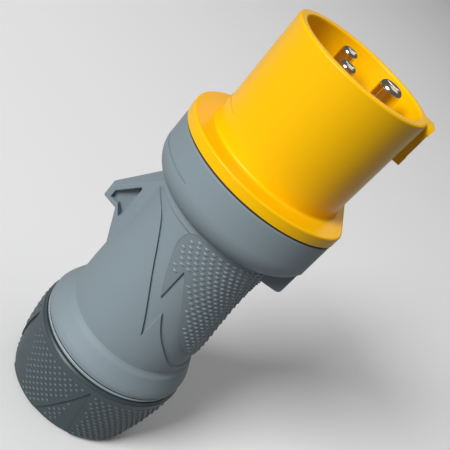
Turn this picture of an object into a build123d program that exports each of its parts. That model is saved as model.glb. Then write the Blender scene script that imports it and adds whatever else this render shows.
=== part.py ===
from build123d import *
from math import cos, radians, sin, sqrt
import os

os.makedirs("parts", exist_ok=True)

# Millimetres. The plug stands on the rear face of its gland nut: the origin is the centre of that
# face, where the cable goes in, +Z runs along the axis to the mouth and +X points to the key.

# Pins
pin_circle_r = 8.8
earth_pin_d = 7.0
phase_pin_d = 5.0
phase_pin_len = 40.4
earth_pin_extra = 1.7
pin_pitch_deg = 120
pin_hole_gap = 0.05
pin_seat_step = 0.25
pin_tip_round = 0.26
barrel_wall = 1.45
barrel_step = 0.95
barrel_len = 13.0
wire_hole_depth = 10.0
pin_shoulder_step = 0.7
pin_shoulder_thick = 1.2
clamp_hole_from_rear = 5.0

# Clamp screws and leaves in the pin barrels
clamp_screw_d = 3.4
clamp_head_d = 4.6
clamp_head_len = 2.2
screw_slot_w = 0.7
screw_slot_depth = 1.0
clamp_leaf_thick = 0.5
clamp_leaf_len = 7.5
clamp_leaf_drop = 0.5

# Shroud: skirt, flange, key, floor and the guides behind the flange
skirt_len = 35.25
rim_r = 21.8
skirt_draft = 0.6
skirt_wall = 2.6
rim_round = 0.7
skirt_base_round = 0.9
floor_thick = 4.0
floor_below_flange = 5.65
flange_overhang = 6.35
flange_thick = 3.35
flange_edge_round = 0.6
flat_depth = 3.55
flat_round = 13.0
key_w = 4.9
key_height = 2.2
key_len = 13.3
key_nose_len = 2.6
key_block_len = 2.8
key_nose_extra = 0.3
key_block_extra = 0.12
skirt_swell = 0.3
skirt_swell_len = 5.5
skirt_swell_half_deg = 30
skirt_groove_w = 0.35
skirt_groove_depth = 0.25
spigot_len = 6.4
spigot_wall = 2.0
spigot_gap = 0.2
guide_len = 6.0
guide_wall = 2.0

# Gasket between flange and collar
gasket_thick = 0.8
gasket_inset = 0.45
gasket_bore_gap = 0.1

# Contact carrier and its cover
carrier_r = 16.5
carrier_len = 15.0
carrier_gap = 0.1
barrel_bore_gap = 0.1
cover_thick = 1.5
cover_gap = 0.05
wire_way_gap = 0.3
carrier_screw_d = 3.0
carrier_screw_head_d = 5.2
carrier_screw_head_len = 1.8
carrier_screw_r = 11.2
carrier_screw_bite = 2.4
carrier_screw_angles = (60, -60)

# Handle
collar_len = 17.9
collar_setback = 0.25
collar_wall = 2.2
collar_top_round = 0.4
collar_flat_setback = 0.1
collar_side_len = 8.7
collar_under_round = 8.5
collar_under_deg = 62
collar_root_round = 1.8
collar_root_depth = 6.9
collar_cavity_len = 11.4
collar_swell = 0.4
collar_swell_top_drop = 8.3
collar_swell_half_deg = 52
collar_groove_w = 0.4
collar_groove_depth = 0.35
neck_len = 47.6
neck_wall = 3.2
shoulder_len = 8.6
shoulder_edge_r = 25.5
shoulder_edge_len = 1.3
shoulder_round = 1.2
neck_foot_r = 21.8
neck_full_r = 21.9
neck_low_r = 21.5
neck_mid_r = 21.0
neck_waist_r = 20.6
neck_high_r = 20.8
neck_top_r = 21.4
neck_bow = 0.75
band_depth = 0.8
band_top_drop = 1.6
foot_half_w = 9.4
foot_bottom_drop = 5.2
foot_corner_round = 1.4
foot_slope = 0.4
foot_root_depth = 6.0

# Hanging lug on the side away from the key: a wedge, thin at its tip
lug_reach = 31.4
lug_out = 9.1
lug_tip_half_w = 1.7
lug_root_half_w = 4.3
lug_top_drop = 4.0
lug_tip_top_drop = 15.2
lug_tip_low_drop = 19.2
lug_step_back = 4.9
lug_step_drop = 0.3
lug_root_low_drop = 29.5
lug_inset = 6.0
lug_tip_round = 0.5
lug_frame = 1.9
lug_pocket_root = 1.5
lug_pocket_top = 3.9
lug_pocket_low = 2.4
lug_pocket_floor = 1.1
lug_pocket_tip = 0.3
lug_web_half = 0.9
lug_pocket_round = 0.4

# Grip pads
pad_proud = 0.65
pad_seat_depth = 0.8
pad_top_drop = 0.4
pad_spine_half_w = 3.5
pad_foot_gap = 0.3

# Lightning outlines seen from the front, as (x, height above the neck's foot)
step_left = ((-30.0, 44.6), (-19.8, 43.7), (-16.8, 42.5), (-14.3, 39.7), (-8.7, 30.2), (-2.0, 18.4),
             (1.7, 10.9))
step_right = ((1.9, 20.8), (7.6, 12.4), (11.8, 7.8), (16.8, 2.9), (22.5, 0.6), (30.0, 0.6))
pad_top_x = -4.2
pad_side = ((-6.5, 46.6), (-7.8, 44.0), (-8.1, 41.2), (-7.3, 38.0), (-4.0, 29.5), (-1.6, 24.7))
pad_low = ((-1.5, 35.7), (1.5, 31.4), (5.2, 25.1), (9.2, 18.5), (13.6, 12.6), (18.2, 8.5), (30.0, 6.6))

# Screw that keeps the shroud in the handle
lock_screw_d = 3.0
lock_head_d = 4.6
lock_head_len = 1.1
lock_recess_gap = 0.2
lock_screw_drop = 3.9
lock_boss_r = 2.3
lock_boss_len = 1.1

# Thread sleeve, seal and gland
tail_len = 13.4
tail_r = 20.6
tail_wall = 4.0
seal_groove = 0.5
seal_thick = 1.2
seal_nut_gap = 0.5
seal_setback = 0.75
nut_len = 25.2
nut_rear_step = 2.8
nut_belly_step = 0.85
nut_belly_z = 12.0
nut_over_tail = 5.5
nut_rim_len = 0.8
nut_thread_gap = 0.4
nut_wall_rear = 3.5
cable_bore_r = 9.0
nut_rear_round = 1.4
sleeve_thick = 1.5
sleeve_rear_z = 0.9
flute_count = 5
flute_angle = -85.8
flute_depth = 0.7
flute_top_gap = 2.4
flute_left = 9.4
flute_right = 4.3
cage_flange_thick = 1.6
cage_flange_step = 0.8
cage_collar_len = 5.0
cage_collar_gap = 0.2
cage_wall = 3.6
finger_count = 8
finger_len = 6.6
finger_slot = 1.6
finger_root_thick = 2.6
finger_tip_thick = 0.9
ring_len = 6.0
ring_side_gap = 0.6
ring_cone_gap = 0.3
ring_nut_gap = 0.1
seal_bush_gap = 0.15
seal_bush_bore_r = 5.0
seal_bush_flange_gap = 0.6
seal_bush_flange_thick = 1.6

# Sizes that follow: flange and collar from the skirt, nut and gland from the thread sleeve
flange_r = rim_r + flange_overhang
flat_dist = flange_r - flat_depth
collar_r = flange_r - collar_setback
collar_flat = flat_dist - collar_flat_setback
collar_root_r = collar_r - collar_root_depth
nut_top_r = tail_r + nut_over_tail
nut_belly_r = nut_top_r - nut_belly_step
nut_rear_r = nut_top_r - nut_rear_step
seal_r = nut_top_r - seal_setback
tail_bore_r = tail_r - tail_wall
cage_flange_r = tail_r - cage_flange_step
cage_collar_r = tail_bore_r - cage_collar_gap
cage_bore_r = cage_collar_r - cage_wall
finger_root_r = cage_bore_r + finger_root_thick
finger_tip_r = cage_bore_r + finger_tip_thick
ring_r = tail_r + nut_thread_gap - ring_side_gap
seal_bush_flange_r = tail_bore_r - seal_bush_flange_gap
lug_root_x = lug_reach - lug_out
lug_step_x = lug_reach - lug_step_back

# Stations along the axis
tail_rear_z = nut_len + seal_nut_gap + seal_thick + seal_groove - tail_len
handle_rear_z = tail_rear_z + tail_len
neck_foot_z = handle_rear_z + shoulder_len
neck_top_z = neck_foot_z + neck_len
collar_top_z = neck_top_z + collar_len
flange_under_z = collar_top_z + gasket_thick
flange_top_z = flange_under_z + flange_thick
rim_z = flange_top_z + skirt_len
floor_z = flange_top_z - floor_below_flange
floor_under_z = floor_z - floor_thick
carrier_rear_z = floor_under_z - carrier_len
cover_rear_z = carrier_rear_z - cover_thick
barrel_top_z = floor_under_z - pin_shoulder_thick
barrel_rear_z = barrel_top_z - barrel_len
phase_tip_z = floor_z + phase_pin_len
clamp_z = barrel_rear_z + clamp_hole_from_rear
lock_z = flange_under_z - lock_screw_drop

far = 60
pins = {"earth_pin": (0, earth_pin_d), "phase_pin_1": (-pin_pitch_deg, phase_pin_d),
        "phase_pin_2": (pin_pitch_deg, phase_pin_d)}


def save(name, solid):
    export_step(solid, f"parts/{name}.step")
    return solid


def turned(points):
    """Solid of revolution of a closed outline given as (radius, z) points."""
    face = Plane.XZ * make_face(Polyline(*points, close=True))
    return revolve(face, Axis.Z)


def disc(radius, z_low, z_high):
    return Pos(0, 0, z_low) * Cylinder(radius, z_high - z_low, align=(Align.CENTER, Align.CENTER, Align.MIN))


def tube(radius, bore, z_low, z_high):
    return disc(radius, z_low, z_high) - disc(bore, z_low - 1, z_high + 1)


def block(x_low, x_high, half_w, z_low, z_high):
    box = Box(x_high - x_low, 2 * half_w, z_high - z_low, align=(Align.MIN, Align.CENTER, Align.MIN))
    return Pos(x_low, 0, z_low) * box


def along_x(radius, x_low, x_high, z):
    """Round bar that lies along X at height z."""
    bar = Cylinder(radius, x_high - x_low, align=(Align.CENTER, Align.CENTER, Align.MIN))
    return Pos(x_low, 0, z) * Rot(0, 90, 0) * bar


def flatted_disc(radius, flat, z_low, z_high):
    """Round disc with one flat on the key side, whose ends run into the round in a wide curve."""
    cut = disc(radius, z_low, z_high) - block(flat, far, far, z_low - 1, z_high + 1)
    ends = [e for e in cut.edges().filter_by(Axis.Z) if abs(e.center().X - flat) < 0.01]
    return fillet(ends, flat_round - flange_r + radius)


def wedge(half_deg, z_low, z_high):
    """Sector of space on the lug side, half_deg to each side of -X."""
    across = far * sin(radians(half_deg))
    back = -far * cos(radians(half_deg))
    outline = make_face(Polyline((0, 0), (back, across), (back, -across), close=True))
    return Pos(0, 0, z_low) * extrude(outline, z_high - z_low)


def swell(radius, raise_by, half_deg, z_low, z_high):
    """Disc moved towards the lug, so that it stands proud there and fades out at half_deg."""
    fade = cos(radians(half_deg))
    shift = raise_by / (1 - fade)
    return Pos(-shift, 0, 0) * disc(radius + raise_by - shift, z_low, z_high)


def at_pin(angle):
    return Rot(0, 0, angle) * Pos(pin_circle_r, 0, 0)


def skirt_r(z):
    return rim_r - skirt_draft * (rim_z - z) / skirt_len


def seat_r(pin_d):
    return pin_d / 2 + pin_seat_step


def barrel_r(pin_d):
    return pin_d / 2 + barrel_step


def shoulder_r(pin_d):
    return barrel_r(pin_d) + pin_shoulder_step


def wire_hole_r(pin_d):
    return barrel_r(pin_d) - barrel_wall


def make_shroud():
    inner_r = rim_r - skirt_wall
    guide_bore = carrier_r + carrier_gap
    shell = turned([(0, floor_under_z), (0, floor_z), (inner_r - skirt_draft, floor_z), (inner_r, rim_z),
                    (rim_r, rim_z), (skirt_r(flange_top_z), flange_top_z), (flat_dist - 1, flange_top_z),
                    (flat_dist - 1, flange_under_z), (guide_bore + guide_wall, flange_under_z),
                    (guide_bore + guide_wall, floor_under_z - guide_len),
                    (guide_bore, floor_under_z - guide_len), (guide_bore, floor_under_z)])
    rim_edges = shell.edges().filter_by(GeomType.CIRCLE).group_by(Axis.Z)[-1]
    shell = fillet(rim_edges, rim_round)
    base = [e for e in shell.edges().filter_by(GeomType.CIRCLE)
            if abs(e.radius - skirt_r(flange_top_z)) < 0.01 and abs(e.center().Z - flange_top_z) < 0.01]
    shell = fillet(base, skirt_base_round)
    flange = flatted_disc(flange_r, flat_dist, flange_under_z, flange_top_z)
    flange = fillet(flange.edges().group_by(Axis.Z)[-1], flange_edge_round)
    body = shell + (flange - disc(skirt_r(flange_top_z) - 0.5, flange_under_z - 1, flange_top_z + 1))
    swell_top_z = flange_top_z + skirt_base_round + skirt_swell_len
    body += swell(skirt_r(flange_top_z), skirt_swell, skirt_swell_half_deg, flange_top_z - 1, swell_top_z) \
        - disc(rim_r - skirt_wall / 2 - skirt_draft, flange_top_z - 2, rim_z)
    groove = tube(far, skirt_r(swell_top_z) - skirt_groove_depth, swell_top_z, swell_top_z + skirt_groove_w)
    body -= groove & wedge(skirt_swell_half_deg, 0, rim_z)
    spigot_r = collar_r - collar_wall - spigot_gap
    spigot_flat = collar_flat - collar_wall - spigot_gap
    spigot = flatted_disc(spigot_r, spigot_flat, flange_under_z - spigot_len, flange_under_z) \
        - flatted_disc(spigot_r - spigot_wall, spigot_flat - spigot_wall, 0, rim_z)
    body += spigot
    boss_x = spigot_flat - spigot_wall - lock_boss_len
    body += along_x(lock_boss_r, boss_x, spigot_flat - spigot_wall / 2, lock_z)
    body -= along_x(lock_screw_d / 2, boss_x - 1, far, lock_z)
    key_out = rim_r + key_height
    inside = disc(rim_r - skirt_wall / 2 - skirt_draft, 0, rim_z)
    nose_z = rim_z - key_nose_len
    key_foot_z = rim_z - key_len
    half = key_w / 2
    key = block(0, key_out - 0.15, half, key_foot_z + 0.1, rim_z - 0.1) \
        + block(0, key_out, half + key_nose_extra, nose_z, rim_z) \
        + block(0, key_out - 0.05, half + key_block_extra, key_foot_z, key_foot_z + key_block_len)
    body += key - inside
    for angle, pin_d in pins.values():
        body -= at_pin(angle) * disc(seat_r(pin_d) + pin_hole_gap, floor_under_z - 1, floor_z + 1)
    for angle in carrier_screw_angles:
        hole = disc(carrier_screw_d / 2, floor_under_z - 1, floor_under_z + carrier_screw_bite + 0.2)
        body -= Rot(0, 0, angle) * Pos(carrier_screw_r, 0, 0) * hole
    return body


def make_gasket():
    inset = collar_wall + spigot_gap - gasket_bore_gap
    ring = flatted_disc(collar_r - gasket_inset, collar_flat - gasket_inset, collar_top_z, flange_under_z)
    return ring - flatted_disc(collar_r - inset, collar_flat - inset, 0, rim_z)


def make_pin(angle, pin_d):
    """Turned pin: domed tip, rod, seat in the floor, shoulder under it and a drilled barrel."""
    tip_z = phase_tip_z + (earth_pin_extra if pin_d == earth_pin_d else 0)
    rod = disc(pin_d / 2, floor_z, tip_z)
    rod = fillet(rod.edges().group_by(Axis.Z)[-1], pin_d * pin_tip_round)
    rod += disc(seat_r(pin_d), floor_under_z, floor_z)
    rod += disc(shoulder_r(pin_d), barrel_top_z, floor_under_z)
    rod += disc(barrel_r(pin_d), barrel_rear_z, barrel_top_z)
    rod -= disc(wire_hole_r(pin_d), barrel_rear_z - 1, barrel_rear_z + wire_hole_depth)
    side_hole = Pos(0, 0, clamp_z) * Rot(0, 90, 0) * Cylinder(
        clamp_screw_d / 2 + pin_hole_gap, far, align=(Align.CENTER, Align.CENTER, Align.MIN))
    return at_pin(angle) * (rod - side_hole)


def make_clamp_screw(angle, pin_d):
    """Slotted screw that points at the pin's axis through the side of the barrel."""
    tip = clamp_leaf_drop + clamp_leaf_thick
    head_start = barrel_r(pin_d) + barrel_bore_gap
    shank = Cylinder(clamp_screw_d / 2, head_start - tip, align=(Align.CENTER, Align.CENTER, Align.MIN))
    head = Cylinder(clamp_head_d / 2, clamp_head_len, align=(Align.CENTER, Align.CENTER, Align.MIN))
    head = chamfer(head.edges().group_by(Axis.Z)[-1], 0.3)
    slot = Box(clamp_head_d + 1, screw_slot_w, screw_slot_depth,
               align=(Align.CENTER, Align.CENTER, Align.MAX))
    screw = Pos(0, 0, tip) * shank + Pos(0, 0, head_start) * (head - Pos(0, 0, clamp_head_len) * slot)
    return at_pin(angle) * Pos(0, 0, clamp_z) * Rot(0, 90, 0) * screw


def make_clamp_leaf(angle, pin_d):
    """Bent strip in the wire hole that keeps the screw off the strands."""
    reach = wire_hole_r(pin_d) - 0.1
    half_w = sqrt(reach ** 2 - (clamp_leaf_drop + clamp_leaf_thick) ** 2)
    strip = Pos(clamp_leaf_drop, 0, clamp_z) * Box(
        clamp_leaf_thick, 2 * half_w, clamp_leaf_len, align=(Align.MIN, Align.CENTER, Align.CENTER))
    return at_pin(angle) * strip


def make_carrier():
    """Moulded block that holds the three pin barrels from behind the floor."""
    body = disc(carrier_r, carrier_rear_z, floor_under_z)
    body = chamfer(body.edges().group_by(Axis.Z)[0], 0.6)
    for angle, pin_d in pins.values():
        body -= at_pin(angle) * disc(barrel_r(pin_d) + barrel_bore_gap, carrier_rear_z - 1, rim_z)
        body -= at_pin(angle) * disc(shoulder_r(pin_d) + barrel_bore_gap,
                                     barrel_top_z - barrel_bore_gap, floor_under_z + 1)
        access = Cylinder(clamp_head_d / 2 + 0.2, far, align=(Align.CENTER, Align.CENTER, Align.MIN))
        body -= at_pin(angle) * Pos(0, 0, clamp_z) * Rot(0, 90, 0) * access
    for angle in carrier_screw_angles:
        body -= Rot(0, 0, angle) * Pos(carrier_screw_r, 0, 0) * disc(carrier_screw_d / 2 + 0.1, 0, rim_z)
    return body


def make_cover():
    """Thin plate over the rear of the carrier, with a way in for each wire."""
    plate = disc(carrier_r, cover_rear_z, carrier_rear_z - cover_gap)
    for angle, pin_d in pins.values():
        plate -= at_pin(angle) * disc(wire_hole_r(pin_d) + wire_way_gap, cover_rear_z - 1, carrier_rear_z + 1)
    for angle in carrier_screw_angles:
        plate -= Rot(0, 0, angle) * Pos(carrier_screw_r, 0, 0) * disc(carrier_screw_d / 2 + 0.1, 0, rim_z)
    return plate


def make_carrier_screws():
    screws = []
    for angle in carrier_screw_angles:
        shank = disc(carrier_screw_d / 2, cover_rear_z - 0.1, floor_under_z + carrier_screw_bite)
        head = disc(carrier_screw_head_d / 2, cover_rear_z - carrier_screw_head_len, cover_rear_z)
        head = fillet(head.edges().group_by(Axis.Z)[0], 0.6)
        slot = Pos(0, 0, cover_rear_z - carrier_screw_head_len) * Box(
            carrier_screw_head_d + 1, screw_slot_w, 2 * screw_slot_depth)
        screws.append(Rot(0, 0, angle) * Pos(carrier_screw_r, 0, 0) * (shank + head - slot))
    return Compound(screws)


# Neck sections: share of the neck's length, radius, and share of its bow towards the lug.
neck_sections = [(0.0, neck_foot_r, 0.0), (0.17, neck_full_r, 0.13), (0.33, neck_low_r, 0.47),
                 (0.50, neck_mid_r, 0.8), (0.69, neck_waist_r, 1.0), (0.875, neck_high_r, 0.8),
                 (1.0, neck_top_r, 0.53)]


def neck(offset, overrun=0.0):
    """Waisted neck as one smooth loft, its surface moved out by offset."""
    rings = []
    for share, radius, bow in neck_sections:
        stretch = -overrun if share == 0 else (overrun if share == 1 else 0)
        centre = Plane(origin=(-neck_bow * bow, 0, neck_foot_z + share * neck_len + stretch))
        rings.append(centre * Circle(radius + offset))
    return loft([r.face() for r in rings])


def lightning(left, right, top):
    """Face below z = top and above two splines joined by a steep riser."""
    left = [(x, neck_foot_z + height) for x, height in left]
    right = [(x, neck_foot_z + height) for x, height in right]
    corners = [right[-1], (right[-1][0], top)]
    if left[0][1] < top - 0.01:
        corners.append((left[0][0], top))
    corners.append(left[0])
    edges = [Spline(*left), Line(left[-1], right[0]), Spline(*right), Polyline(*corners)]
    return make_face(Plane.XZ * Curve(edges))


def both_ways(face):
    """Everything in front of and behind this outline."""
    return extrude(face, far, both=True)


def lug_plan(tip_half_w, root_half_w):
    """Wedge seen from above, widening from the lug's tip to its root and on into the neck."""
    widen = (root_half_w - tip_half_w) / (lug_reach - lug_root_x)
    inner_x = lug_inset - lug_root_x
    inner_half = root_half_w + widen * lug_inset
    plan = make_face(Polyline((-lug_reach, -tip_half_w), (inner_x, -inner_half), (inner_x, inner_half),
                              (-lug_reach, tip_half_w), close=True))
    return extrude(plan, rim_z)


def make_lug():
    """Hanging lug with a blind pocket sunk into each side."""
    top = neck_top_z - lug_top_drop
    tip_top = neck_top_z - lug_tip_top_drop
    tip_low = neck_top_z - lug_tip_low_drop
    root_low = neck_top_z - lug_root_low_drop
    climb = (top - tip_top) / (lug_reach - lug_root_x)
    side = Polyline((lug_inset - lug_root_x, top + climb * lug_inset), (-lug_reach, tip_top),
                    (-lug_reach, tip_low), (-lug_step_x, tip_low - lug_step_drop), (-lug_root_x, root_low),
                    (lug_inset - lug_root_x, root_low - lug_inset), close=True)
    lug = extrude(Plane.XZ * make_face(side), far / 2, both=True) & lug_plan(lug_tip_half_w, lug_root_half_w)
    lug = fillet([e for e in lug.edges() if e.center().X < 0.1 - lug_reach and e.length > 2], lug_tip_round)
    pocket_root_x = lug_root_x + lug_pocket_root
    pocket_tip_x = lug_reach - lug_frame
    pocket = make_face(Polyline((-pocket_root_x, top - lug_pocket_top),
                                (-pocket_tip_x, tip_top - lug_pocket_tip),
                                (-pocket_tip_x, tip_low + lug_pocket_floor),
                                (-lug_step_x, tip_low + lug_pocket_floor),
                                (-pocket_root_x, tip_low - lug_pocket_low), close=True))
    pocket = extrude(Plane.XZ * fillet(pocket.vertices(), lug_pocket_round), far, both=True)
    return lug - (pocket - block(-far, 0, lug_web_half, 0, rim_z))


def collar_body(radius):
    """Turned outside of the collar: straight side, convex underside, concave root on the neck."""
    lean = radians(collar_under_deg)
    side_z = collar_top_z - collar_side_len
    root_r = radius - collar_r + collar_root_r
    fall_r = 1 - cos(lean)
    straight = (radius - root_r - (collar_under_round + collar_root_round) * fall_r) / sin(lean)

    def on_round(share):
        a = lean * share
        return (radius - collar_under_round * (1 - cos(a)), side_z - collar_under_round * sin(a))

    slope_r = on_round(1)[0] - straight * sin(lean)
    slope_z = on_round(1)[1] - straight * cos(lean)
    root_z = slope_z - collar_root_round * sin(lean)

    def on_root(share):
        a = lean * share
        return (root_r + collar_root_round * (1 - cos(a)), root_z + collar_root_round * sin(a))

    outline = [ThreePointArc((radius, side_z), on_round(0.5), on_round(1)),
               Line(on_round(1), (slope_r, slope_z)),
               ThreePointArc((slope_r, slope_z), on_root(0.5), (root_r, root_z)),
               Polyline((root_r, root_z), (0, root_z), (0, collar_top_z), (radius, collar_top_z),
                        (radius, side_z))]
    body = revolve(Plane.XZ * make_face(Curve(outline)), Axis.Z)
    return fillet(body.edges().group_by(Axis.Z)[-1], collar_top_round)


def make_collar():
    """Collar with its flat and, on the lug's side, the swollen lower part and a groove above it."""
    swell_top_z = collar_top_z - collar_swell_top_drop
    shift = collar_swell / (1 - cos(radians(collar_swell_half_deg)))
    low = Pos(-shift, 0, 0) * collar_body(collar_r + collar_swell - shift)
    low &= wedge(90, 0, swell_top_z)
    groove = tube(far, collar_r - collar_groove_depth, swell_top_z, swell_top_z + collar_groove_w)
    groove &= wedge(collar_swell_half_deg, 0, rim_z)
    beyond = block(0, far, far, 0, rim_z) - flatted_disc(collar_r, collar_flat, -1, rim_z + 1)
    return collar_body(collar_r) + low - groove - beyond


def make_foot():
    """Rib below the flat of the collar, flush with it."""
    low = neck_top_z - foot_bottom_drop
    inner = neck_waist_r - foot_root_depth
    face = make_face(Polyline((inner, low), (neck_waist_r - 1, low), (collar_flat, low + foot_slope),
                              (collar_flat, collar_top_z - collar_top_round),
                              (inner, collar_top_z - collar_top_round), close=True))
    foot = extrude(Plane.XZ * face, foot_half_w, both=True)
    corner = [e for e in foot.edges() if abs(e.center().X - collar_flat) < 0.01 and e.center().Z < low + 1]
    return fillet(corner, foot_corner_round)


def make_neck():
    """Neck with the sunk lightning band on both sides."""
    overrun = 1.2
    solid = neck(0, overrun)
    skin = neck(2, overrun + 0.1) - neck(-band_depth, overrun + 0.2)
    return solid - (skin & both_ways(lightning(step_left, step_right, neck_top_z - band_top_drop)))


def make_shoulder():
    """Rear shoulder above the nut, with the thread sleeve below it."""
    edge_z = handle_rear_z + shoulder_edge_len
    outline = [(0, handle_rear_z), (shoulder_edge_r, handle_rear_z), (shoulder_edge_r, edge_z),
               (shoulder_edge_r - 0.4, edge_z + 1.3), (neck_foot_r + 1.3, neck_foot_z - 1.6),
               (neck_foot_r + 0.5, neck_foot_z - 0.7), (neck_foot_r, neck_foot_z + 0.3),
               (0, neck_foot_z + 0.3)]
    return turned(outline) + disc(tail_r, tail_rear_z, handle_rear_z + 0.5)


def handle_hollow():
    """Room for the shroud's spigot, the contact carrier and the wires."""
    cavity_z = collar_top_z - collar_cavity_len
    top_r = neck_top_r - neck_wall
    hollow = flatted_disc(collar_r - collar_wall, collar_flat - collar_wall, cavity_z, collar_top_z + 1)
    hollow += neck(-neck_wall, 0.02)
    hollow += turned([(0, neck_top_z - 0.1), (top_r - 0.4, neck_top_z - 0.1), (top_r + 0.8, cavity_z + 0.1),
                      (0, cavity_z + 0.1)])
    return hollow + disc(tail_bore_r, tail_rear_z - 1, neck_foot_z + 0.1)


def make_handle():
    body = make_neck() + make_collar() + make_foot() + make_lug() + make_shoulder()
    body -= handle_hollow()
    for seat in pad_pair(-band_depth - pad_seat_depth, 2):
        body -= seat
    recess_x = collar_flat - lock_head_len - lock_recess_gap
    body -= along_x(lock_head_d / 2 + lock_recess_gap, recess_x, far, lock_z)
    return body - along_x(lock_screw_d / 2 + lock_recess_gap, 0, far, lock_z)


def pad_pair(inner, outer):
    """Front and back shells between two offsets of the neck, cut to the pad's outline."""
    side = ((pad_top_x, neck_len - pad_top_drop), *pad_side)
    outline = lightning(side, pad_low, neck_top_z - pad_top_drop)
    shell = (neck(outer, 0.1) - neck(inner, 0.2)) & both_ways(outline)
    shell -= block(0, far, pad_spine_half_w, 0, rim_z)
    shell -= block(0, far, foot_half_w + pad_foot_gap, neck_top_z - foot_bottom_drop - pad_foot_gap, rim_z)
    return shell.solids().sort_by(Axis.Y)


def make_lock_screw():
    """Slotted screw through the flat of the collar into the shroud's spigot."""
    seat = collar_flat - lock_head_len - lock_recess_gap
    inner = collar_flat - collar_wall - spigot_gap - spigot_wall - lock_boss_len
    head = along_x(lock_head_d / 2, seat, seat + lock_head_len, lock_z)
    head = chamfer(head.edges().group_by(Axis.X)[-1], 0.25)
    slot = Pos(seat + lock_head_len, 0, lock_z) * Box(screw_slot_depth, lock_head_d + 1, screw_slot_w)
    return head - slot + along_x(lock_screw_d / 2, inner, seat, lock_z)


def make_seal_ring():
    low = handle_rear_z - seal_groove - seal_thick
    ring = tube(seal_r, tail_r + 0.05, low, handle_rear_z - seal_groove)
    ring = fillet([e for e in ring.edges().filter_by(GeomType.CIRCLE) if e.radius > seal_r - 0.1], 0.45)
    return ring + tube(seal_r - 1.1, tail_r + 0.05, handle_rear_z - seal_groove - 0.2, handle_rear_z)


def nut_outline(inset):
    """Outside of the nut as (radius, z) points from rear to rim, moved in by inset."""
    rim_z_nut = nut_len - nut_rim_len
    return [(nut_rear_r - inset, 0), (nut_belly_r - inset, nut_belly_z), (nut_top_r - inset, rim_z_nut)]


def nut_skin(inset, z_low):
    """Barrel-shaped solid: an arc through the three outline points, cut off below z_low."""
    rear, belly, top = nut_outline(inset)
    outline = Curve([ThreePointArc(rear, belly, top), Polyline(top, (0, top[1]), (0, 0), rear)])
    skin = revolve(Plane.XZ * make_face(outline), Axis.Z)
    return skin - disc(far, -1, z_low)


def flute_cutter():
    """Triangle with its point near the rim, its left side curved, pushed in from outside."""
    top_z = nut_len - flute_top_gap
    left = Spline((0, top_z), (-flute_left * 0.15, top_z * 0.85), (-flute_left * 0.66, top_z * 0.36),
                  (-flute_left * 1.1, -1))
    right = Polyline((-flute_left * 1.1, -1), (flute_right * 1.05, -1), (0, top_z))
    face = Plane.YZ * make_face(Curve([left, right]))
    return extrude(face, far)


def make_nut():
    core = nut_skin(sleeve_thick, 0)
    core = fillet(core.edges().group_by(Axis.Z)[0], 0.8)
    rim_r_low = nut_top_r - sleeve_thick
    core += turned([(rim_r_low - 2, nut_len - nut_rim_len), (nut_top_r - 0.15, nut_len - nut_rim_len),
                    (nut_top_r - 0.65, nut_len), (rim_r_low - 2, nut_len)])
    core -= disc(tail_r + nut_thread_gap, nut_wall_rear, nut_len + 1)
    return core - disc(cable_bore_r, -1, nut_len)


def make_nut_grip():
    grip = nut_skin(0, sleeve_rear_z)
    grip = fillet(grip.edges().group_by(Axis.Z)[0], nut_rear_round * 0.8)
    grip -= nut_skin(sleeve_thick, 0)
    cutter = flute_cutter()
    deep = nut_skin(flute_depth, 0)
    for index in range(flute_count):
        angle = flute_angle + index * 360 / flute_count
        grip -= (Rot(0, 0, angle) * cutter) - deep
    return grip


def make_cage():
    """Ring of fingers: its collar sits in the tail, its fingers point to the cable end."""
    flange_z = tail_rear_z - cage_flange_thick
    tip_z = flange_z - finger_len
    cage = disc(cage_collar_r, tail_rear_z - 0.5, tail_rear_z + cage_collar_len)
    cage += disc(cage_flange_r, flange_z, tail_rear_z)
    cage += turned([(0, tip_z), (finger_tip_r, tip_z), (finger_root_r, flange_z + 0.2), (0, flange_z + 0.2)])
    cage -= disc(cage_bore_r, tip_z - 1, tail_rear_z + cage_collar_len + 1)
    for index in range(finger_count):
        slot = block(0, finger_root_r + 1, finger_slot / 2, tip_z - 1, flange_z - 0.6)
        cage -= Rot(0, 0, index * 360 / finger_count) * slot
    return cage


def make_thrust_ring():
    """Ring with an inner cone that presses the fingers onto the cable as the nut is turned."""
    low = nut_wall_rear + ring_nut_gap
    flange_z = tail_rear_z - cage_flange_thick
    slope = (finger_root_r - finger_tip_r) / finger_len
    cone_low = finger_tip_r + ring_cone_gap + slope * (low - flange_z + finger_len)
    cone_high = cone_low + slope * ring_len
    ring = turned([(cone_low, low), (ring_r, low), (ring_r, low + ring_len), (cone_high, low + ring_len)])
    return chamfer([e for e in ring.edges().filter_by(GeomType.CIRCLE) if e.radius > ring_r - 0.1], 0.5)


def make_cable_seal():
    """Rubber bush inside the fingers, with a lip over the front of the cage."""
    low = tail_rear_z - cage_flange_thick - finger_len + 0.4
    front = tail_rear_z + cage_collar_len
    bush = disc(cage_bore_r - seal_bush_gap, low, front + 0.1)
    bush += disc(seal_bush_flange_r, front, front + seal_bush_flange_thick)
    return bush - disc(seal_bush_bore_r, 0, rim_z)


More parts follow.
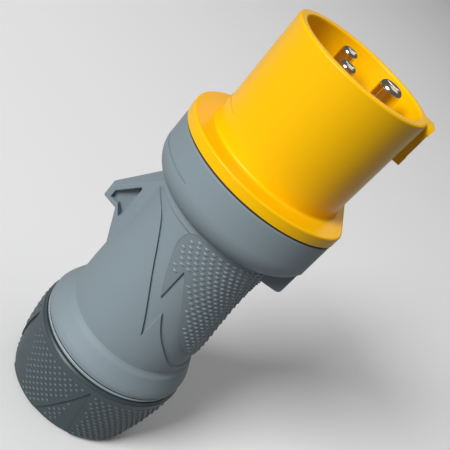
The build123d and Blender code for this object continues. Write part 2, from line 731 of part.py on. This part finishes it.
save("shroud", make_shroud())
save("flange_gasket", make_gasket())
for pin_name, (pin_angle, pin_size) in pins.items():
    short = pin_name.replace("_pin", "")
    save(pin_name, make_pin(pin_angle, pin_size))
    save(f"{short}_clamp_screw", make_clamp_screw(pin_angle, pin_size))
    save(f"{short}_clamp_leaf", make_clamp_leaf(pin_angle, pin_size))
save("contact_carrier", make_carrier())
save("terminal_cover", make_cover())
save("carrier_screws", make_carrier_screws())
save("handle", make_handle())
for pad_name, pad in zip(("grip_pad_front", "grip_pad_back"),
                         pad_pair(-band_depth - pad_seat_depth, -band_depth + pad_proud)):
    save(pad_name, pad)
save("lock_screw", make_lock_screw())
save("nut_seal_ring", make_seal_ring())
save("clamp_cage", make_cage())
save("cable_seal", make_cable_seal())
save("thrust_ring", make_thrust_ring())
save("gland_nut", make_nut())
save("nut_grip", make_nut_grip())
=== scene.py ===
import bpy
import numpy as np
from mathutils import Matrix, Vector
from mathutils.bvhtree import BVHTree


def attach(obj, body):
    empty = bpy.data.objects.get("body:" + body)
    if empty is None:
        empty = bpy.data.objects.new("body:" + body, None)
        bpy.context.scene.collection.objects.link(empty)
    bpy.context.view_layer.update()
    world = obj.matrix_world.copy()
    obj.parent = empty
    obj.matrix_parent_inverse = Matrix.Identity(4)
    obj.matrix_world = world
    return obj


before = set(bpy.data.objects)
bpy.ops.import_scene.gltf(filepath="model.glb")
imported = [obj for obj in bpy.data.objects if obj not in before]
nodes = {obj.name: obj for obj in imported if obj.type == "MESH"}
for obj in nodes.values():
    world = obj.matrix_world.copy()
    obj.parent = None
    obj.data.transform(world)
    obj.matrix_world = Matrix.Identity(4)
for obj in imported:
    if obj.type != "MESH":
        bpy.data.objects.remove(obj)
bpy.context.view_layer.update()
mm = 0.001


# The studio: a wide pale floor under one large soft light on the left, weak ones behind and above for
# the rims and for the pins' tips, and an even white surround. The camera looks down at the standing plug,
# turned as in the picture.

camera_place = np.array([-31.44, -198.48, 179.72]) * mm
view_pitch = np.radians(26.269)
view_yaw = np.radians(9.352)
view_roll = np.radians(42.92)
sensor_mm = 36.0
focal_px = 772.99
picture_px = 450


def camera_axes(pitch, yaw, roll):
    """Columns right, up and back of a camera looking along +Y, turned by yaw, pitched down, then rolled."""
    ahead = np.array([np.sin(yaw) * np.cos(pitch), np.cos(yaw) * np.cos(pitch), -np.sin(pitch)])
    right = np.cross(ahead, [0, 0, 1])
    right /= np.linalg.norm(right)
    up = np.cross(right, ahead)
    turned_right = np.cos(roll) * right + np.sin(roll) * up
    turned_up = np.cos(roll) * up - np.sin(roll) * right
    return np.stack([turned_right, turned_up, -ahead], axis=1)


lens = bpy.data.cameras.new("camera")
lens.sensor_width = sensor_mm
lens.lens = focal_px * sensor_mm / picture_px
lens.clip_start = 5 * mm
camera = bpy.data.objects.new("camera", lens)
camera.matrix_world = (Matrix.Translation(camera_place.tolist())
                       @ Matrix(camera_axes(view_pitch, view_yaw, view_roll).tolist()).to_4x4())
bpy.context.scene.collection.objects.link(camera)
bpy.context.scene.camera = camera
bpy.context.scene.view_settings.view_transform = "Standard"


class Field:
    """A shader socket that takes part in sums, so that the maths on a surface reads as a formula."""

    def __init__(self, tree, socket):
        self.tree = tree
        self.socket = socket

    def maths(self, operation, *others):
        """This socket and the others, which are fields or numbers, put through one maths node."""
        node = self.tree.nodes.new("ShaderNodeMath")
        node.operation = operation
        for slot, value in zip(node.inputs, (self, *others)):
            if isinstance(value, Field):
                self.tree.links.new(value.socket, slot)
            else:
                slot.default_value = value
        return Field(self.tree, node.outputs[0])

    def __add__(self, other):
        return self.maths("ADD", other)

    def __sub__(self, other):
        return self.maths("SUBTRACT", other)

    def __mul__(self, other):
        return self.maths("MULTIPLY", other)

    def __rsub__(self, other):
        return (self * -1.0).maths("ADD", other)

    def __truediv__(self, other):
        return self.maths("DIVIDE", other)

    __radd__ = __add__
    __rmul__ = __mul__

    def clamp(self, low, high):
        """The field, held between low and high."""
        return self.maths("MAXIMUM", low).maths("MINIMUM", high)


class Finish:
    """A material under construction: one principled shader and the nodes that feed it."""

    def __init__(self, name, **fixed):
        self.material = bpy.data.materials.new(name)
        self.material.use_nodes = True
        self.tree = self.material.node_tree
        self.shader = next(n for n in self.tree.nodes if n.type == "BSDF_PRINCIPLED")
        self.set(self.shader, fixed)

    def set(self, node, values):
        """Links the fields among the values to the node's sockets, and types in the others."""
        for key, value in values.items():
            if isinstance(value, Field):
                self.tree.links.new(value.socket, node.inputs[key])
            else:
                node.inputs[key].default_value = value

    def node(self, kind, settings, values, output=0):
        """One output of a new shader node that has these settings and socket values."""
        made = self.tree.nodes.new("ShaderNode" + kind)
        for key, value in settings.items():
            setattr(made, key, value)
        self.set(made, values)
        return Field(self.tree, made.outputs[output])

    def place(self):
        """Where the shaded point is, in metres in the piece's own frame."""
        return self.node("TexCoord", {}, {}, output="Object")

    def noise(self, size, detail=2.0, roughness=0.5):
        """Noise from 0 to 1 whose lumps are about size metres across."""
        return self.node("TexNoise", {}, {"Vector": self.place(), "Scale": 1.0 / size, "Detail": detail,
                                          "Roughness": roughness})

    def mix(self, amount, first, second):
        """Colour that goes from first to second as amount goes from 0 to 1."""
        # The node has sockets of the same name for each kind of data, so its colours go by their places.
        factor, first_colour, second_colour, mixed = 0, 6, 7, 2
        ends = {first_colour: (*first, 1.0), second_colour: (*second, 1.0)}
        return self.node("Mix", {"data_type": "RGBA"}, {factor: amount, **ends}, output=mixed)

    def bump(self, height, depth, edge_round):
        """Relief of that many metres and softened edges, worked into the surface's normal."""
        softened = self.node("Bevel", {"samples": 4}, {"Radius": edge_round})
        self.set(self.shader, {"Normal": self.node("Bump", {}, {"Height": height, "Distance": depth,
                                                                "Normal": softened})})

    def drifting(self, tones, spread):
        """Colour that drifts slowly between two tones. Spread is the share of the way that it uses."""
        drift = self.noise(11 * mm)
        self.set(self.shader, {"Base Color": self.mix(drift * spread + 0.5 - spread / 2, *tones)})

    def grained(self, size, depth, roughness, roughness_spread, edge_round=0.2 * mm):
        """Skin with a fine grain, in its relief and in its gloss."""
        fine = self.noise(size, detail=3.0, roughness=0.6)
        self.set(self.shader, {"Roughness": roughness + (fine - 0.5) * roughness_spread})
        self.bump(fine, depth, edge_round)

    def onto(self, thing):
        """Gives the thing this material alone, and hands the thing back."""
        thing.data.materials.clear()
        thing.data.materials.append(self.material)
        return thing


floor_half = 6.0
floor_mesh = bpy.data.meshes.new("floor")
floor_mesh.from_pydata([(-floor_half, -floor_half, 0), (floor_half, -floor_half, 0),
                        (floor_half, floor_half, 0), (-floor_half, floor_half, 0)], [], [(0, 1, 2, 3)])
floor = bpy.data.objects.new("floor", floor_mesh)
bpy.context.scene.collection.objects.link(floor)
paper = Finish("floor_paper", **{"Base Color": (0.95, 0.95, 0.95, 1.0), "Roughness": 0.9})
paper.onto(floor)
floor.visible_diffuse = False        # the cut-out picture shows no light thrown up by a floor

aim_height = 70 * mm


def softbox(name, place, size, power):
    """Square lamp, size metres wide, that shines from place at the middle of the plug."""
    lamp = bpy.data.lights.new(name, "AREA")
    lamp.size = size
    lamp.energy = power
    holder = bpy.data.objects.new(name, lamp)
    toward = Vector((0.0, 0.0, aim_height)) - Vector(place)
    holder.matrix_world = Matrix.Translation(place) @ toward.to_track_quat("-Z", "Y").to_matrix().to_4x4()
    bpy.context.scene.collection.objects.link(holder)


softbox("key_light", place=(-1.75, -1.9, 1.65), size=1.1, power=104.0)
softbox("back_light", place=(0.45, 2.6, 1.6), size=0.9, power=5.0)
softbox("top_light", place=(0.5, 0.3, 2.0), size=1.6, power=6.0)

surround = bpy.data.worlds.new("surround")
surround.use_nodes = True
background = surround.node_tree.nodes["Background"]
background.inputs["Color"].default_value = (1.0, 1.0, 1.0, 1.0)
background.inputs["Strength"].default_value = 0.1
bpy.context.scene.world = surround


# The shroud: skirt, flange and key in one yellow moulding, glossy from a polished tool, with the
# three pin holes in its floor.

yellow = Finish("shroud_yellow", **{"Specular IOR Level": 0.2})
yellow.drifting(tones=((0.99, 0.52, 0.0), (1.0, 0.55, 0.0)), spread=0.5)
yellow.grained(size=0.35 * mm, depth=0.006 * mm, roughness=0.36, roughness_spread=0.05, edge_round=0.1 * mm)
yellow.onto(nodes["shroud"])


# The pins: bright brass turned on a lathe, which leaves fine rings along them, pressed into the floor
# from behind.

line_width = 0.12 * mm
line_depth = 0.0012 * mm
dull_brass = (0.86, 0.76, 0.58)
bright_brass = (0.9, 0.82, 0.66)
brass = Finish("pin_brass", Metallic=1.0)
height = brass.node("SeparateXYZ", {}, {"Vector": brass.place()}, output="Z")
lines = brass.node("TexNoise", {"noise_dimensions": "1D"}, {"W": height / line_width, "Scale": 1.0})
wear = brass.noise(4 * mm, detail=3.0)
brass.set(brass.shader, {"Base Color": brass.mix(wear, dull_brass, bright_brass),
                         "Roughness": 0.12 + wear * 0.1})
brass.bump(lines, line_depth, edge_round=0.1 * mm)
for name in ("earth_pin", "phase_pin_1", "phase_pin_2"):
    brass.onto(nodes[name])


# The small metal parts inside: zinc-plated steel, screws turned and leaves stamped from strip. Only the
# lock screw's head shows, in its recess in the flat of the collar.

steel = Finish("plated_steel", Metallic=1.0)
steel.drifting(tones=((0.58, 0.58, 0.56), (0.66, 0.66, 0.64)), spread=0.8)
steel.grained(size=0.5 * mm, depth=0.002 * mm, roughness=0.3, roughness_spread=0.16, edge_round=0.1 * mm)
for name in nodes:
    if name.endswith(("screw", "screws", "leaf")):
        steel.onto(nodes[name])


# The contact carrier and its cover: black moulded thermoset behind the shroud's floor, held by two
# screws and hidden when the plug is closed.

black = Finish("carrier_black")
black.drifting(tones=((0.026, 0.026, 0.028), (0.034, 0.034, 0.036)), spread=0.6)
black.grained(size=0.4 * mm, depth=0.008 * mm, roughness=0.5, roughness_spread=0.1)
for name in ("contact_carrier", "terminal_cover"):
    black.onto(nodes[name])


# The handle: one grey moulding of filled nylon, collar, lug, neck and shoulder together, with the fine
# matt skin of a spark-eroded tool.

grey = Finish("handle_grey")
grey.drifting(tones=((0.212, 0.266, 0.297), (0.228, 0.282, 0.313)), spread=0.5)
grey.grained(size=0.3 * mm, depth=0.008 * mm, roughness=0.6, roughness_spread=0.08, edge_round=0.4 * mm)
grey.onto(nodes["handle"])


# The grip pads: a soft material moulded into shallow seats in the handle's sides, a little darker
# than the handle.

soft_grey = Finish("grip_grey")
soft_grey.drifting(tones=((0.172, 0.217, 0.242), (0.188, 0.233, 0.258)), spread=0.5)
soft_grey.grained(size=0.3 * mm, depth=0.008 * mm, roughness=0.6, roughness_spread=0.08,
                  edge_round=0.4 * mm)
for name in ("grip_pad_front", "grip_pad_back"):
    soft_grey.onto(nodes[name])


# The pads' nubs: low oval lentils of the same soft material, moulded on in slanting rows that follow the
# lightning edge, each row starting further round than the one above. They stay clear of the pad's edge.

nub_long = 1.7 * mm
nub_short = 0.85 * mm
nub_height = 0.36 * mm
nub_sunk = 0.2 * mm
ray_start = 60 * mm
ray_reach = 50 * mm
most_spread = 0.6 * mm


def lentils(name, centres, outward):
    """Oval domes on a surface. Across each oval the height falls as one minus the square of the share of
    the way out; a last ring is sunk below the surface, and a fan closes it underneath."""
    around = 10
    shares = np.array([0.45, 0.8, 1.0, 1.0])
    heights = nub_height * (1 - shares ** 2)
    heights[-1] = -nub_sunk
    turn = np.arange(around) * 2 * np.pi / around
    along = np.cross([0, 0, 1], outward)
    along /= np.linalg.norm(along, axis=1, keepdims=True)
    across = np.cross(outward, along)
    out = shares[:, None] * np.cos(turn) * nub_long / 2
    up = shares[:, None] * np.sin(turn) * nub_short / 2
    rings = (centres[:, None, None] + out[None, :, :, None] * along[:, None, None]
             + up[None, :, :, None] * across[:, None, None]
             + heights[None, :, None, None] * outward[:, None, None]).reshape(len(centres), -1, 3)
    top = centres + nub_height * outward
    foot = centres - nub_sunk * outward
    points = np.concatenate([top[:, None], rings, foot[:, None]], axis=1)
    this = np.arange(around)
    after = (this + 1) % around
    ring = 1 + around * np.arange(len(shares))
    last = ring[-1]
    cap = np.stack([0 * this, 1 + this, 1 + after], axis=1)
    base = np.stack([0 * this + last + around, last + after, last + this], axis=1)
    sides = np.concatenate([np.stack([a + this, b + this, b + after, a + after], axis=1)
                            for a, b in zip(ring[:-1], ring[1:])])
    stride = points.shape[1]
    shift = np.arange(len(centres))[:, None, None] * stride
    triangles = (np.concatenate([cap, base])[None] + shift).reshape(-1, 3)
    squares = (sides[None] + shift).reshape(-1, 4)
    mesh = bpy.data.meshes.new(name)
    mesh.from_pydata(points.reshape(-1, 3).tolist(), [], triangles.tolist() + squares.tolist())
    mesh.shade_smooth()
    piece = bpy.data.objects.new(name, mesh)
    bpy.context.scene.collection.objects.link(piece)
    return piece


def surface_of(name):
    """The surface of a node's mesh, made ready for rays."""
    return BVHTree.FromObject(nodes[name], bpy.context.evaluated_depsgraph_get())


def seat_on(tree, angles, heights, margin):
    """Casts a ray at the plug's axis for each place and for eight places around it. Keeps the places where
    all nine meet the surface at about one depth, and gives their points and outward directions."""
    probe = np.arange(8) * np.pi / 4
    sides = [0.0, *((nub_long / 2 + margin) * np.cos(probe))]
    lifts = [0.0, *((nub_short / 2 + margin) * np.sin(probe))]
    kept = []
    for angle, z in zip(angles, heights):
        toward = Vector((-np.cos(angle), -np.sin(angle), 0.0))
        starts = [Vector((-np.sin(angle) * side, np.cos(angle) * side, z + lift)) - toward * ray_start
                  for side, lift in zip(sides, lifts)]
        points, normals, _, depths = zip(*(tree.ray_cast(start, toward, ray_reach) for start in starts))
        if None not in depths and max(depths) - min(depths) < most_spread:
            kept.append((*points[0], *normals[0]))
    kept = np.array(kept)
    return kept[:, :3], kept[:, 3:]


# The rows and columns reach past the pad on all sides, and only the places well inside it are kept. A row
# starts further round than the one above, by a step that grows down to the steady row and then stays.
pad_row_top_mm = 81.9
pad_row_step_mm = 1.46
pad_column_deg = 6.7
pad_start_deg = -100.0
pad_lean_deg = 1.7
pad_bow_deg = 0.1
pad_steady_row = 14
pad_steady_lean_deg = 4.0
pad_front_deg = (-150.0, 0.0)
pad_margin = 0.65 * mm
row = np.arange(-2, 30)
bowed = np.minimum(row, pad_steady_row)
row_start = (pad_start_deg + pad_lean_deg * bowed + pad_bow_deg * bowed ** 2
             + pad_steady_lean_deg * (row - bowed))
column = np.arange(-14, 24)
pad_deg = (row_start[:, None] + pad_column_deg * column).ravel()
pad_z = np.repeat(pad_row_top_mm - pad_row_step_mm * row, len(column)) * mm
in_front = (pad_deg > pad_front_deg[0]) & (pad_deg < pad_front_deg[1])
front_pad = surface_of("grip_pad_front")
nub_points, nub_out = seat_on(front_pad, np.radians(pad_deg[in_front]), pad_z[in_front], pad_margin)
mirror = np.array([1.0, -1.0, 1.0])
# The nubs are coloured lighter than the pad they are moulded from: a painted highlight on the nubs.
nub_grey_painted_highlight = Finish("nub_grey_painted_highlight")
nub_grey_painted_highlight.drifting(tones=((0.2, 0.25, 0.28), (0.22, 0.275, 0.305)), spread=0.8)
nub_grey_painted_highlight.grained(size=0.3 * mm, depth=0.006 * mm, roughness=0.42, roughness_spread=0.1)
for name, side in (("grip_nubs_front", 1.0), ("grip_nubs_back", mirror)):
    nubs = nub_grey_painted_highlight.onto(lentils(name, nub_points * side, nub_out * side))
    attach(nubs, "housing")


# Gaskets and seals: moulded rubber rings, squeezed between flange and handle and between handle and nut,
# that show as thin lines. The nut's ring has a painted highlight, light grey, on its rim and painted shade,
# black, in the corner above it.

rubber = Finish("gasket_black")
rubber.drifting(tones=((0.01, 0.01, 0.011), (0.014, 0.014, 0.015)), spread=0.6)
rubber.grained(size=0.3 * mm, depth=0.006 * mm, roughness=0.6, roughness_spread=0.12)
for name in ("flange_gasket", "cable_seal"):
    rubber.onto(nodes[name])
rim_start = 25.15 * mm
rim_fade = 0.1 * mm
# Painted light on the seal ring: painted shade in the corner above it and a painted highlight on its rim,
# blended by distance from the axis.
painted_corner_shade = (0.01, 0.012, 0.013)
painted_rim_highlight = (0.3, 0.37, 0.4)
seal = Finish("seal_grey")
seal.grained(size=0.3 * mm, depth=0.006 * mm, roughness=0.35, roughness_spread=0.1)
flat = seal.node("VectorMath", {"operation": "MULTIPLY"}, {0: seal.place(), 1: (1.0, 1.0, 0.0)})
reach = seal.node("VectorMath", {"operation": "LENGTH"}, {0: flat}, output="Value")
painted_highlight_share = ((reach - rim_start) / rim_fade).clamp(0.0, 1.0)
seal.set(seal.shader, {"Base Color": seal.mix(painted_highlight_share, painted_corner_shade, painted_rim_highlight)})
seal.onto(nodes["nut_seal_ring"])


# The gland: a dark hard nut with a soft sleeve moulded over it, and inside it the clamping fingers and
# their ring.

dark = Finish("nut_dark")
dark.drifting(tones=((0.041, 0.059, 0.066), (0.049, 0.067, 0.074)), spread=0.6)
dark.grained(size=0.3 * mm, depth=0.006 * mm, roughness=0.42, roughness_spread=0.08, edge_round=0.3 * mm)
for name in ("gland_nut", "clamp_cage", "thrust_ring"):
    dark.onto(nodes[name])
soft_dark = Finish("nut_grip_dark")
soft_dark.drifting(tones=((0.044, 0.063, 0.071), (0.052, 0.071, 0.079)), spread=0.6)
soft_dark.grained(size=0.3 * mm, depth=0.008 * mm, roughness=0.55, roughness_spread=0.08,
                  edge_round=0.3 * mm)
soft_dark.onto(nodes["nut_grip"])


# The nut's nubs: the same lentils in straight rows, every other row half a pitch round, moulded on the
# five panels between the smooth flutes. The panel that faces the front has a smooth corner at its lower
# left, which is wider further down.

nut_rows = 15
nut_row_top_mm = 23.27
nut_row_step_mm = 1.46
nut_row_lowest_mm = 1.7
nut_columns = 68
nut_column_deg = 360 / nut_columns
nut_start_deg = -114.53
nut_margin = 0.75 * mm
flute_deg = 72.0
flute_apex_deg = -85.8
flute_clear_deg = 4.0
front_panel_deg = 4 * flute_deg      # round from the apex of the first flute
corner_deg = 12.3                    # how wide the smooth corner is at corner_mm
corner_mm = 20.4
corner_deg_per_mm = 1.1
row = np.arange(nut_rows)
column = np.arange(nut_columns)
nut_deg = (nut_start_deg + nut_column_deg * (column + 0.5 * (row[:, None] % 2))).ravel()
nut_mm = np.repeat(nut_row_top_mm - nut_row_step_mm * row, len(column))
from_flute = (nut_deg - flute_apex_deg + flute_deg / 2) % flute_deg - flute_deg / 2
into_panel = (nut_deg - flute_apex_deg) % 360 - front_panel_deg
smooth_corner = (into_panel > 0) & (into_panel < corner_deg + corner_deg_per_mm * (corner_mm - nut_mm))
kept = (np.abs(from_flute) > flute_clear_deg) & ~smooth_corner & (nut_mm > nut_row_lowest_mm)
sleeve = surface_of("nut_grip")
nub_points, nub_out = seat_on(sleeve, np.radians(nut_deg[kept]), nut_mm[kept] * mm, nut_margin)
# The nubs are coloured lighter than the sleeve they are moulded from: a painted highlight on the nubs.
nub_dark_painted_highlight = Finish("nub_dark_painted_highlight")
nub_dark_painted_highlight.drifting(tones=((0.062, 0.086, 0.097), (0.078, 0.102, 0.113)), spread=0.8)
nub_dark_painted_highlight.grained(size=0.3 * mm, depth=0.006 * mm, roughness=0.44, roughness_spread=0.1)
nut_nubs = nub_dark_painted_highlight.onto(lentils("nut_nubs", nub_points, nub_out))
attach(nut_nubs, "nut")
